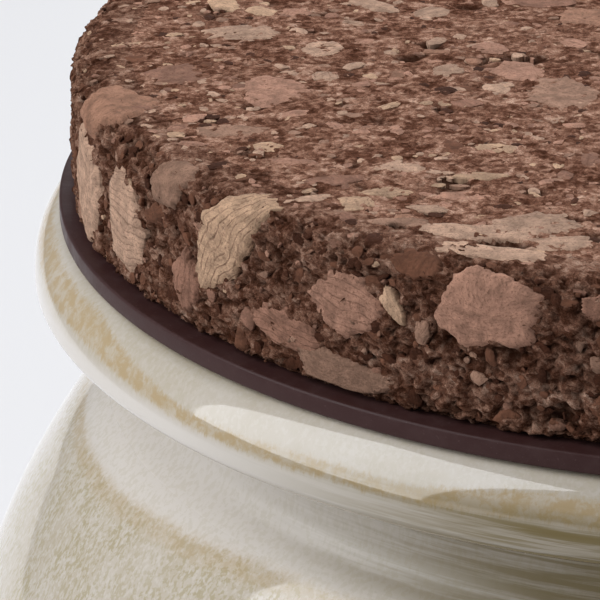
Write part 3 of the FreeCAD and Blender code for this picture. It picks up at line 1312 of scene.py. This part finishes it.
@dataclass
class CorkLid:
    """The thick cork disc: a torn core, pieces of bark cut flush with it, and crumbs."""

    bottom: float
    top: float
    radius: float
    sanded: GranuleFinish
    torn_face: GranuleFinish
    bark: ChipFinish
    top_round: float = 2.4 * MM
    bottom_round: float = 0.9 * MM
    spigot_radius: float = 46.1 * MM
    spigot_depth: float = 1.2 * MM
    seam: float = 50.8 * MM
    seam_overlap: float = 0.2 * MM
    tear_start: float = 0.9 * MM
    tear_reach: float = 2.6 * MM
    side_segments: int = 1380
    side_row: float = 0.25 * MM
    crumb_number: int = 500
    seed: int = 24

    def __post_init__(self) -> None:
        """Work out where the flat top, the rounds and the side begin, measured along the surface."""
        self.flat_end = self.radius - self.top_round
        self.side_start = self.flat_end + self.top_round * math.pi / 2
        self.side_end = self.side_start + (self.top - self.bottom - self.top_round - self.bottom_round)
        self.under_start = self.side_end + self.bottom_round * math.pi / 2

    def surface(self, azimuth: np.ndarray, reach: np.ndarray, depth: np.ndarray) -> np.ndarray:
        """Places on the lid, by azimuth, way along the surface from the axis, and depth below it.

        Args:
            azimuth: Azimuths in radians.
            reach: Ways from the axis out over the top, round the edge and down the side.
            depth: Depths below the sanded surface.

        Returns:
            N x 3 places.
        """
        upper = np.clip((reach - self.flat_end) / self.top_round, 0.0, math.pi / 2)
        lower = np.clip((reach - self.side_end) / self.bottom_round, 0.0, math.pi / 2)
        flat = np.minimum(reach, self.flat_end)
        under = np.maximum(reach - self.under_start, 0.0)
        fall = np.clip(reach - self.side_start, 0.0, self.side_end - self.side_start)
        outward = np.sin(upper) * np.cos(lower)
        upward = np.cos(upper) - np.sin(lower)
        radius = flat + self.top_round * np.sin(upper) - self.bottom_round * (1 - np.cos(lower))
        radius = radius - under - depth * outward
        height = self.top - self.top_round * (1 - np.cos(upper)) - fall
        height = height - self.bottom_round * np.sin(lower) - depth * upward
        return np.c_[radius * np.sin(azimuth), -radius * np.cos(azimuth), height]

    def torn(self, place: Vector, side: float) -> tuple[float, float, float, float]:
        """How the torn core lies at a place, and the tones of its granules there.

        Args:
            place: A place on the sanded surface, in millimetres.
            side: 0 on the flat top and 1 on the side.

        Returns:
            The depth in metres, how deep it lies from 0 to 1, which sets the painted shade of its
            crevices, and the large and small granules' tones.
        """
        bent = place + noise.noise_vector(place * 0.6) * 0.9
        bent += noise.noise_vector(place * 2.1) * 0.22
        bent.z *= 1.5
        lump = granule_at(bent, 0.55, 0.17, Vector((9, 2, 5)))
        small = granule_at(bent, 1.35, 0.2, Vector((1, 8, 3)))
        grit = noise.turbulence(place * 1.3, 3, False)
        pit = max(0.0, noise.noise(place * 0.38 + Vector((3, 1, 7))) - 0.30) * 2.2
        flat = SANDED.depth(lump, small, grit, pit * pit)
        flat += HOLLOW_DEPTH * float(hollow(place.x, place.y))
        rough = TORN.depth(lump, small, grit, pit)
        depth = max(flat + (rough - flat) * side, LEAST_DEPTH)
        # How deep a place lies, from 0 to 1, which sets the painted shade of its crevices.
        usual, deepest = 0.15 + 0.22 * side, 0.34 + 0.50 * side
        crevice_shade = min(max((depth - usual) / (deepest - usual), 0.0), 1.0)
        return depth * MM, crevice_shade, lump.tone, small.tone

    def ring(self, reach: float, size: int) -> tuple[np.ndarray, np.ndarray]:
        """One ring of the core's skin.

        Args:
            reach: Its way along the surface from the axis.
            size: Its number of points.

        Returns:
            Its places, and a tone for each.
        """
        azimuth = np.linspace(0.0, FULL_TURN, size, endpoint=False)
        reaches = np.full(size, reach)
        side = min(max((reach - self.flat_end + self.tear_start) / self.tear_reach, 0.0), 1.0)
        side = side * side * (3.0 - 2.0 * side)
        flat = self.surface(azimuth, reaches, np.zeros(size))
        found = np.array([self.torn(Vector(place), side) for place in flat / MM])
        tone = np.c_[found[:, 1:4], np.zeros(size)]
        return self.surface(azimuth, reaches, found[:, 0]), tone

    def skin(self, rings: Sequence[tuple[float, int]]) -> tuple[list[np.ndarray], list[np.ndarray], Faces]:
        """Rings of the core's skin, joined by faces.

        Args:
            rings: Way along the surface and number of points of each ring, from the axis outwards.

        Returns:
            The places and tones of each ring, and the faces.
        """
        places, tones = [], []
        faces: Faces = []
        count, inner, inner_size = 0, 0, 0
        for reach, size in rings:
            place, tone = self.ring(reach, size)
            places.append(place)
            tones.append(tone)
            if inner_size:
                faces += stitched(inner, inner_size, count, size)
            inner, inner_size = count, size
            count += size
        return places, tones, faces

    def core_top(self) -> bpy.types.Object:
        """Make the core's sanded top.

        Returns:
            The piece.
        """
        rings = [(reach, 256) for reach in np.arange(0.5 * MM, 12 * MM, 0.5 * MM)]
        rings += [(reach, 512) for reach in np.arange(12 * MM, 25 * MM, 0.42 * MM)]
        rings += [(reach, 1024) for reach in np.arange(25 * MM, self.seam + self.seam_overlap, 0.36 * MM)]
        places, tones, faces = self.skin(rings)
        size = len(places[0])
        middle = sum(len(place) for place in places)
        places.append(np.array([[0.0, 0.0, self.top - 0.1 * MM]]))
        tones.append(np.array([[0.2, 0.5, 0.5, 0.0]]))
        faces += [(middle, step, (step + 1) % size) for step in range(size)]
        return self.core("cork_top", places, tones, faces, self.sanded)

    def core_side(self) -> bpy.types.Object:
        """Make the core's torn edge and side, with the underside and the spigot that holds the ring.

        Returns:
            The piece.
        """
        size = self.side_segments
        rings = [(reach, size) for reach in np.arange(self.seam, self.under_start, self.side_row)]
        places, tones, faces = self.skin(rings)
        count = sum(len(place) for place in places)
        last = count - size
        azimuth = np.linspace(0.0, FULL_TURN, size, endpoint=False)
        circle = np.c_[np.sin(azimuth), -np.cos(azimuth)]
        low = self.bottom - self.spigot_depth
        under = self.bottom + 0.01 * MM
        plain = np.tile([0.1, 0.5, 0.5, 0.0], (size, 1))
        for radius, height in (
            (self.radius - self.bottom_round - 0.4 * MM, under),
            (self.spigot_radius, under),
            (self.spigot_radius, low),
        ):
            places.append(np.c_[circle * radius, np.full(size, height)])
            tones.append(plain)
            faces += stitched(last, size, count, size)
            last = count
            count += size
        places.append(np.array([[0.0, 0.0, low]]))
        tones.append(plain[:1])
        faces += [(count, last + (step + 1) % size, last + step) for step in range(size)]
        return self.core("cork_side", places, tones, faces, self.torn_face)

    def core(
        self,
        name: str,
        places: list[np.ndarray],
        tones: list[np.ndarray],
        faces: Faces,
        finish: GranuleFinish,
    ) -> bpy.types.Object:
        """Make a piece of the core.

        Args:
            name: Its name.
            places: Its places.
            tones: Their tones.
            faces: Its faces.
            finish: Its granules.

        Returns:
            The piece.
        """
        shell = Shell()
        shell.add(np.vstack(places), faces, np.vstack(tones))
        return shell.piece(name, finish.material(), "cork_lid", "cork")

    def add_chip(self, shell: Shell, chip: Chip, side: Side, around: int, rings: int) -> None:
        """Add one piece of bark: flush in the middle, sinking into the core at its rim.

        Args:
            shell: The mesh that takes it.
            chip: Its place, size and look.
            side: Whether its place is given on the top or on the edge.
            around: Points of its outline.
            rings: Into how many rings its face is divided.
        """
        draw = random.Random(chip.seed)
        line = broken_outline(draw, around) * np.array([chip.width, chip.length])
        shares = [(step / rings) ** 0.8 for step in range(1, rings + 1)] + [1.0, 1.03]
        raw = np.vstack([[[0.0, 0.0]]] + [line * share for share in shares])
        share_of = np.concatenate([[0.0]] + [np.full(around, share) for share in shares])
        turn = math.radians(chip.turn)
        cosine, sine = math.cos(turn), math.sin(turn)
        flat = raw @ np.array([[cosine, sine], [-sine, cosine]])
        rim = 0.08 if side is Side.TOP else min(0.34, 0.07 * chip.width)
        rise = np.clip((share_of - 0.78) / 0.22, 0.0, 1.0)
        sink = chip.depth + rim * rise**2
        if chip.width < 2.2 and side is Side.EDGE:
            sink += raw @ np.array([draw.uniform(-0.12, 0.12), draw.uniform(-0.12, 0.12)])
        sink[-around:] += 0.5
        bent = self.weathered(chip, raw, sink)
        grain = np.c_[raw[:, 0], bent, np.full(len(raw), float(chip.seed % 997) * 11.3)]
        if side is Side.TOP:
            x, y = chip.across + flat[:, 0], chip.along + flat[:, 1]
            azimuth = np.arctan2(x, -y)
            reach = np.hypot(x, y) * MM
            sink += 2.0 * HOLLOW_DEPTH * hollow(x, y)
        else:
            reach = self.side_start + (self.top - self.top_round - self.bottom) - chip.along * MM
            reach = np.minimum(reach - flat[:, 1] * MM, self.under_start)
            azimuth = math.radians(chip.across) + flat[:, 0] * MM / self.radius
        fade = draw.uniform(0.86, 1.12)
        tone = (*(part * fade for part in chip.bark.value), chip.lines)
        places = self.surface(azimuth, reach, np.maximum(sink, 0.01) * MM)
        shell.add(places, chip_faces(around, rings), tone, grain)

    @staticmethod
    def weathered(chip: Chip, raw: np.ndarray, sink: np.ndarray) -> np.ndarray:
        """Sink a piece of bark by its lumps and by the steps between its layers of growth.

        Args:
            chip: The piece of bark.
            raw: N x 2 places on it, in millimetres.
            sink: Their depths, which are added to in place.

        Returns:
            How far across the layers each place lies, in millimetres.
        """
        shift = Vector((chip.seed % 991 * 1.7, 3.0, 0.0))
        bent = raw[:, 1].copy()
        for index, (x, y) in enumerate(raw):
            spot = Vector((x, y, 0.0))
            bent[index] += 0.9 * noise.noise(spot * 0.30 + shift) + 0.16 * noise.noise(spot * 1.2 + shift)
            sink[index] += 0.02 + 0.04 * noise.noise(spot * 1.1 + shift)
            sink[index] += 0.03 * noise.noise(spot * 3.1 + shift)
        layer = bent / LAYER_MM
        step = layer - np.floor(layer)
        sink += chip.lines * (0.07 * step + 0.06 * np.exp(-(((step - 0.25) / 0.12) ** 2)))
        return bent

    def placed_chips(self, shell: Shell) -> None:
        """Add the large pieces of bark that have places of their own.

        Args:
            shell: The mesh that takes them.
        """
        for chip in TOP_CHIPS:
            self.add_chip(shell, chip, Side.TOP, 72, 14)
        for chip in EDGE_CHIPS:
            self.add_chip(shell, chip, Side.EDGE, 96, 22)

    def scattered_chips(self, shell: Shell) -> None:
        """Add the further pieces of bark, scattered over the top and round the side.

        Args:
            shell: The mesh that takes them.
        """
        draw = random.Random(self.seed)
        taken = [(chip.across, chip.along, chip.half) for chip in TOP_CHIPS]
        for lot in TOP_LOTS:
            self.strewn_on_top(shell, draw, lot, taken)
        arc_mm = math.radians(self.radius / MM)
        taken = [(chip.across * arc_mm, chip.along, chip.half) for chip in EDGE_CHIPS]
        for lot in EDGE_LOTS:
            self.strewn_round(shell, draw, lot, taken)

    def flecks(self, shell: Shell) -> None:
        """Add the smallest pieces of bark in the sanded top."""
        self.strewn_on_top(shell, random.Random(self.seed + 2), FLECK_LOT, None)

    def strewn_on_top(
        self, shell: Shell, draw: random.Random, lot: Scatter, taken: list[Spot] | None
    ) -> None:
        """Strew a lot over the top.

        Args:
            shell: The mesh that takes it.
            draw: The source of chance.
            lot: The lot.
            taken: Places and half sizes of the bark that it keeps clear of, if it does.
        """
        limit = self.flat_end / MM
        for _ in range(lot.number):
            size = draw.uniform(*lot.sizes)
            turn, far = draw.uniform(0.0, FULL_TURN), math.sqrt(draw.random()) * (limit - size / 2)
            x, y = far * math.cos(turn), far * math.sin(turn)
            if taken is not None:
                if clashes((x, y, size), taken, (0.45, 0.9)):
                    continue
                taken.append((x, y, size / 2))
            chip = lot.chip(draw, x, y, size, lot.bark(draw))
            self.add_chip(shell, chip, Side.TOP, lot.around, lot.rings)

    def strewn_round(self, shell: Shell, draw: random.Random, lot: Scatter, taken: list[Spot]) -> None:
        """Strew a lot round the edge and the side.

        Args:
            shell: The mesh that takes it.
            draw: The source of chance.
            lot: The lot.
            taken: Places and half sizes of the bark that it keeps clear of.
        """
        half_turn = math.pi * self.radius / MM
        for _ in range(lot.number):
            size = draw.uniform(*lot.sizes)
            along = draw.uniform(-half_turn, half_turn)
            height = draw.uniform(0.6, 13.6)
            if clashes((along, height, size), taken, (0.55, 0.8)):
                continue
            taken.append((along, height, size / 2))
            azimuth = math.degrees(along * MM / self.radius)
            chip = lot.chip(draw, azimuth, height, size, lot.bark(draw))
            self.add_chip(shell, chip, Side.EDGE, lot.around, lot.rings)

    def flakes(self, shell: Shell) -> None:
        """Add the small tilted flakes that stand in the torn edge and side.

        Args:
            shell: The mesh that takes them.
        """
        draw = random.Random(self.seed + 3)
        lot = FLAKE_LOT
        for _ in range(lot.number):
            size, bark = draw.uniform(*lot.sizes), lot.bark(draw)
            azimuth, height = draw.uniform(-180.0, 180.0), draw.uniform(0.2, 14.0)
            chip = lot.chip(draw, azimuth, height, size, bark)
            self.add_chip(shell, chip, Side.EDGE, lot.around, lot.rings)

    def crumbs(self, shell: Shell) -> None:
        """Add the crumbs that stand in the torn edge and side.

        Args:
            shell: The mesh that takes them.
        """
        draw = random.Random(self.seed + 1)
        ball, faces = crumb_ball()
        first, last = self.flat_end / MM - 0.6, self.under_start / MM - 0.2
        for _ in range(self.crumb_number):
            size = 0.5 * draw.choice((0.2, 0.25, 0.3, 0.4, 0.5)) * draw.uniform(0.8, 1.2)
            scales = np.array([size * draw.uniform(1.0, 2.2), size * draw.uniform(0.5, 1.0), size])
            jitter = np.array([[draw.uniform(0.55, 1.35)] for _ in ball])
            turn = draw.uniform(0, math.pi)
            lump = ball * scales * jitter
            across = lump[:, 0] * math.cos(turn) - lump[:, 1] * math.sin(turn)
            along = lump[:, 0] * math.sin(turn) + lump[:, 1] * math.cos(turn)
            reach = draw.uniform(first, last)
            azimuth = draw.uniform(-math.pi, math.pi)
            middle = draw.uniform(0.22, 0.60)
            depth = np.maximum(middle - lump[:, 2], draw.uniform(0.04, 0.16)) * MM
            azimuths = azimuth + across * MM / self.radius
            reaches = np.minimum((reach - along) * MM, self.under_start)
            fade = draw.uniform(0.7, 1.2)
            bark = draw.choices(list(Bark), CRUMB_WEIGHTS)[0]
            tone = (*(part * fade for part in bark.value), 0.0)
            grain = lump + np.array([draw.uniform(0, 50), draw.uniform(0, 50), 0.0])
            shell.add(self.surface(azimuths, reaches, depth), faces, tone, grain)

    def build(self) -> list[bpy.types.Object]:
        """Make the core's two pieces and the pieces of bark, large ones first.

        Returns:
            The pieces.
        """
        pieces = [self.core_top(), self.core_side()]
        for name, fill in (
            ("cork_bark", self.placed_chips),
            ("cork_chips", self.scattered_chips),
            ("cork_flecks", self.flecks),
            ("cork_flakes", self.flakes),
            ("cork_crumbs", self.crumbs),
        ):
            shell = Shell()
            fill(shell)
            pieces.append(shell.piece(name, self.bark.material(), "cork_lid", "cork"))
        return pieces


# ---------------------------------------------------------------------------------------------------
# The studio
# ---------------------------------------------------------------------------------------------------


@dataclass(frozen=True)
class SoftBox:
    """A soft box: where it hangs, seen from the top of the lip, which way it faces and its size.

    Azimuths and tilts are in degrees, lengths in metres, and the glow is its radiance.
    """

    name: str
    azimuth: float
    away: float
    height: float
    tilt: float
    width: float
    length: float
    glow: float

    def lamp(self, level: float, colour: Colour) -> bpy.types.Object:
        """Hang the soft box.

        Args:
            level: Height of the top of the lip.
            colour: Colour of its light.

        Returns:
            The lamp.
        """
        light = bpy.data.lights.new(self.name, "AREA")
        light.shape = "RECTANGLE"
        light.size, light.size_y = self.width, self.length
        light.energy = self.glow * math.pi * self.width * self.length
        light.color = colour
        lamp = bpy.data.objects.new(self.name, light)
        turn, tilted = math.radians(self.azimuth), math.radians(self.tilt)
        out = Vector((math.sin(turn), -math.cos(turn), 0.0))
        lamp.location = out * self.away + Vector((0.0, 0.0, level + self.height))
        lamp.rotation_mode = "QUATERNION"
        back = out * math.cos(tilted) + Vector((0.0, 0.0, math.sin(tilted)))
        lamp.rotation_quaternion = back.to_track_quat("Z", "Y")
        bpy.context.scene.collection.objects.link(lamp)
        return lamp


SOFT_BOXES = (
    SoftBox("left_box", -65.0, 0.649, 0.524, 17.6, 0.60, 1.00, 4.45),
    SoftBox("back_box", 160.0, 0.60, 0.90, 56.0, 0.80, 0.60, 5.5),
    SoftBox("back_card", 155.0, 0.95, 0.40, 0.0, 1.50, 1.00, 1.4),
)


@dataclass
class Studio:
    """Pale table, dark room, soft boxes and the camera.

    The camera's distances are shares of the ring's radius and its angles are in radians.
    """

    lip_top: float
    ring_radius: float
    table_colour: Colour = (0.625, 0.615, 0.620)
    table_glow: Colour = (0.80, 0.81, 0.85)
    lamp_colour: Colour = (0.955, 0.978, 1.0)
    room_colour: Colour = (0.94, 0.95, 1.0)
    lit_colour: Colour = (0.465, 0.460, 0.470)
    lit_spot: tuple[float, float, float] = (-0.6, -0.3, 0.0)
    lit_range: Range = (0.1, 0.7)
    shine_range: Range = (0.85, 1.8)
    table_shine: float = 0.12
    far_shine: float = 0.68
    mirrored_shine: float = 0.30
    table_roughness: float = 0.9
    table_refraction: float = 1.2
    table_left: float = -0.50
    table_right: float = 1.6
    table_depth: float = 1.6
    room: float = 0.12
    pale: float = 0.88
    gloss_share: float = 0.26
    lens_mm: float = 216.0
    sensor_mm: float = 36.0
    camera_back: float = 4.937
    camera_rise: float = 1.846
    camera_yaw: float = -0.1326
    camera_pitch: float = 0.3895
    camera_near: float = 0.01

    def table(self) -> bpy.types.Object:
        """Lay the pale table top. To the camera a part of its paleness is its own, so it stays even.

        Returns:
            The table top.
        """
        shell = Shell()
        left, right, deep = self.table_left, self.table_right, self.table_depth
        corners = [[left, -deep, 0.0], [right, -deep, 0.0], [right, deep, 0.0], [left, deep, 0.0]]
        shell.add(np.array(corners), [(0, 1, 2, 3)])
        draft = Draft("pale_table")
        rays = draft.node("LightPath").outputs
        places = {0: draft.node("TexCoord").outputs["Object"], 1: self.lit_spot}
        away = draft.node("VectorMath", places, operation="DISTANCE").outputs["Value"]
        shine = draft.span(away, *self.shine_range, self.table_shine, self.far_shine)
        seen = draft.times(rays["Is Camera Ray"], shine)
        mirrored = draft.larger(rays["Is Glossy Ray"], rays["Is Transmission Ray"])
        draft.set(
            Base_Color=draft.mix(draft.span(away, *self.lit_range), self.lit_colour, self.table_colour),
            Roughness=self.table_roughness,
            IOR=self.table_refraction,
            Emission_Color=(*self.table_glow, 1.0),
            Emission_Strength=draft.plus(seen, draft.times(mirrored, self.mirrored_shine)),
        )
        table = shell.object("pale_table", draft.material)
        return table

    def world(self) -> None:
        """Make the room dark for the lamps' sake, pale behind the object and faint in its gloss."""
        world = bpy.data.worlds.new("room")
        world.use_nodes = True
        nodes, links = world.node_tree.nodes, world.node_tree.links
        back = nodes["Background"]
        back.inputs["Color"].default_value = (*self.room_colour, 1.0)
        rays = nodes.new("ShaderNodeLightPath").outputs
        strength = None
        for ray, share in (
            ("Is Camera Ray", self.pale),
            ("Is Transmission Ray", self.pale),
            ("Is Glossy Ray", self.gloss_share),
        ):
            step = nodes.new("ShaderNodeMath")
            step.operation = "MULTIPLY_ADD"
            links.new(rays[ray], step.inputs[0])
            step.inputs[1].default_value = share - self.room
            if strength is None:
                step.inputs[2].default_value = self.room
            else:
                links.new(strength, step.inputs[2])
            strength = step.outputs[0]
        links.new(strength, back.inputs["Strength"])
        bpy.context.scene.world = world

    def camera(self) -> bpy.types.Object:
        """Set up the camera in front of the jar, looking down at the lid's left through a long lens.

        Returns:
            The camera.
        """
        data = bpy.data.cameras.new("camera")
        data.lens = self.lens_mm
        data.sensor_width = self.sensor_mm
        data.clip_start = self.camera_near
        camera = bpy.data.objects.new("camera", data)
        yaw, pitch = self.camera_yaw, self.camera_pitch
        level = math.cos(pitch)
        ahead = Vector((math.sin(yaw) * level, math.cos(yaw) * level, -math.sin(pitch)))
        rise = self.lip_top + self.camera_rise * self.ring_radius
        camera.location = (0.0, -self.camera_back * self.ring_radius, rise)
        camera.rotation_mode = "QUATERNION"
        camera.rotation_quaternion = ahead.to_track_quat("-Z", "Y")
        bpy.context.scene.collection.objects.link(camera)
        bpy.context.scene.camera = camera
        return camera

    def build(self) -> list[bpy.types.Object]:
        """Set up the table, the light and the camera.

        Returns:
            The table top, the lamps and the camera.
        """
        table = self.table()
        self.world()
        lamps = [box.lamp(self.lip_top, self.lamp_colour) for box in SOFT_BOXES]
        bpy.context.scene.view_settings.view_transform = "Standard"
        return [table, *lamps, self.camera()]


def main() -> None:
    """Build the jar, the ring, the lid and the studio."""
    logging.basicConfig(level=logging.INFO, format="%(name)s: %(message)s")
    noise.seed_set(NOISE_SEED)
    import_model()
    jar_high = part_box("jar")[1]
    ring_low, ring_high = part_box("seal_ring")
    lid_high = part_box("cork_lid")[1]

    for maker in (
        StonewareJar(jar_high.z, jar_high.x, GlazeFinish(jar_high.z / MM)),
        SealRing(ring_low.z, ring_high.z, ring_high.x, SiliconeFinish()),
        CorkLid(
            bottom=ring_high.z,
            top=lid_high.z,
            radius=lid_high.x,
            sanded=GranuleFinish(),
            torn_face=GranuleFinish(name="torn_cork", shade=0.80),
            bark=ChipFinish(),
        ),
        Studio(lip_top=jar_high.z, ring_radius=ring_high.x),
    ):
        for piece in maker.build():
            LOG.info("%s built %s", type(maker).__name__, piece.name)


if __name__ == "__main__":
    main()
